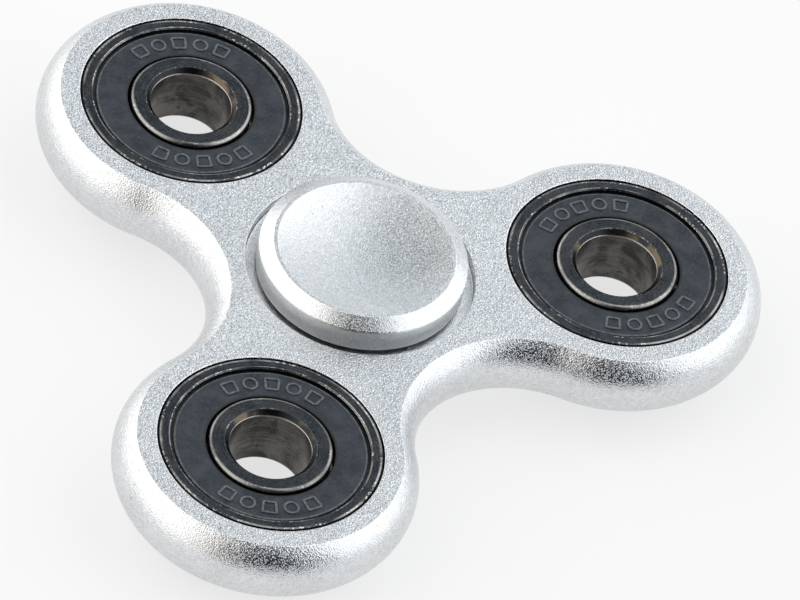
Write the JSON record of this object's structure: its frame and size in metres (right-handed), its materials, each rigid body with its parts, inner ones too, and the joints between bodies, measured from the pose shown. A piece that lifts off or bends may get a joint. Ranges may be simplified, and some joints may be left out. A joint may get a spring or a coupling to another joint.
{
  "type": "fidget spinner",
  "caption": "Lobed metal finger spinner: a round-edged body turns on a small bearing between dished finger caps, and each lobe carries an open-bore sealed ball bearing.",
  "frame": {"origin": "on the spin axis, half way through the thickness of the body, which is also the centroid", "axes": "+Z along the spin axis towards the upper finger cap; +Y from the spin axis towards lobe 1"},
  "size_m": [0.0744, 0.0685, 0.0126],
  "materials": {
    "body_aluminium": "fine bead-blasted, clear anodised, satin",
    "cap_aluminium": "fine bead-blasted, clear anodised, satin",
    "lobe_ring_steel": "dark ground bearing steel with bright worn edges",
    "hub_ring_steel": "ground bearing steel",
    "ball_steel": "polished",
    "cage_steel": "pressed sheet steel",
    "seal_rubber": "matt moulded nitrile rubber, blue-black",
    "shield_steel": "pressed sheet steel"
  },
  "bodies": {
    "finger_hub": {"cap_top": "cap_aluminium", "cap_bottom": "cap_aluminium", "hub_inner_ring": "hub_ring_steel"},
    "spinner": {"spinner_frame": "body_aluminium", "hub_outer_ring": "hub_ring_steel", "hub_shield_upper": "shield_steel", "hub_shield_lower": "shield_steel", "lobe_1_outer_ring": "lobe_ring_steel", "lobe_1_seal_upper": "seal_rubber", "lobe_1_seal_lower": "seal_rubber", "lobe_2_outer_ring": "lobe_ring_steel", "lobe_2_seal_upper": "seal_rubber", "lobe_2_seal_lower": "seal_rubber", "lobe_3_outer_ring": "lobe_ring_steel", "lobe_3_seal_upper": "seal_rubber", "lobe_3_seal_lower": "seal_rubber"},
    "hub_ball_set": {"hub_cage": "cage_steel", "hub_balls": "ball_steel"},
    "lobe_1_axle_ring": {"lobe_1_inner_ring": "lobe_ring_steel"},
    "lobe_1_ball_set": {"lobe_1_balls": "ball_steel", "lobe_1_cage_upper": "cage_steel", "lobe_1_cage_lower": "cage_steel", "lobe_1_cage_rivets": "cage_steel"},
    "lobe_2_axle_ring": {"lobe_2_inner_ring": "lobe_ring_steel"},
    "lobe_2_ball_set": {"lobe_2_balls": "ball_steel", "lobe_2_cage_upper": "cage_steel", "lobe_2_cage_lower": "cage_steel", "lobe_2_cage_rivets": "cage_steel"},
    "lobe_3_axle_ring": {"lobe_3_inner_ring": "lobe_ring_steel"},
    "lobe_3_ball_set": {"lobe_3_balls": "ball_steel", "lobe_3_cage_upper": "cage_steel", "lobe_3_cage_lower": "cage_steel", "lobe_3_cage_rivets": "cage_steel"}
  },
  "joints": [
    {"name": "body_spin", "type": "hinge", "parent": "finger_hub", "child": "spinner", "pos_m": [0, 0, 0], "axis": [0, 0, 1], "continuous": true},
    {"name": "hub_ball_set_spin", "type": "hinge", "parent": "finger_hub", "child": "hub_ball_set", "pos_m": [0, 0, 0], "axis": [0, 0, 1], "continuous": true},
    {"name": "lobe_1_ring_spin", "type": "hinge", "parent": "spinner", "child": "lobe_1_axle_ring", "pos_m": [0, 0.0258, 0], "axis": [0, 0, 1], "continuous": true},
    {"name": "lobe_1_ball_set_spin", "type": "hinge", "parent": "spinner", "child": "lobe_1_ball_set", "pos_m": [0, 0.0258, 0], "axis": [0, 0, 1], "continuous": true},
    {"name": "lobe_2_ring_spin", "type": "hinge", "parent": "spinner", "child": "lobe_2_axle_ring", "pos_m": [-0.02234, -0.0129, 0], "axis": [0, 0, 1], "continuous": true},
    {"name": "lobe_2_ball_set_spin", "type": "hinge", "parent": "spinner", "child": "lobe_2_ball_set", "pos_m": [-0.02234, -0.0129, 0], "axis": [0, 0, 1], "continuous": true},
    {"name": "lobe_3_ring_spin", "type": "hinge", "parent": "spinner", "child": "lobe_3_axle_ring", "pos_m": [0.02234, -0.0129, 0], "axis": [0, 0, 1], "continuous": true},
    {"name": "lobe_3_ball_set_spin", "type": "hinge", "parent": "spinner", "child": "lobe_3_ball_set", "pos_m": [0.02234, -0.0129, 0], "axis": [0, 0, 1], "continuous": true}
  ],
  "couplings": [
    {"joint": "hub_ball_set_spin", "follows": "body_spin", "ratio": 0.58336},
    {"joint": "lobe_1_ball_set_spin", "follows": "lobe_1_ring_spin", "ratio": 0.3677},
    {"joint": "lobe_2_ball_set_spin", "follows": "lobe_2_ring_spin", "ratio": 0.3677},
    {"joint": "lobe_3_ball_set_spin", "follows": "lobe_3_ring_spin", "ratio": 0.3677}
  ]
}
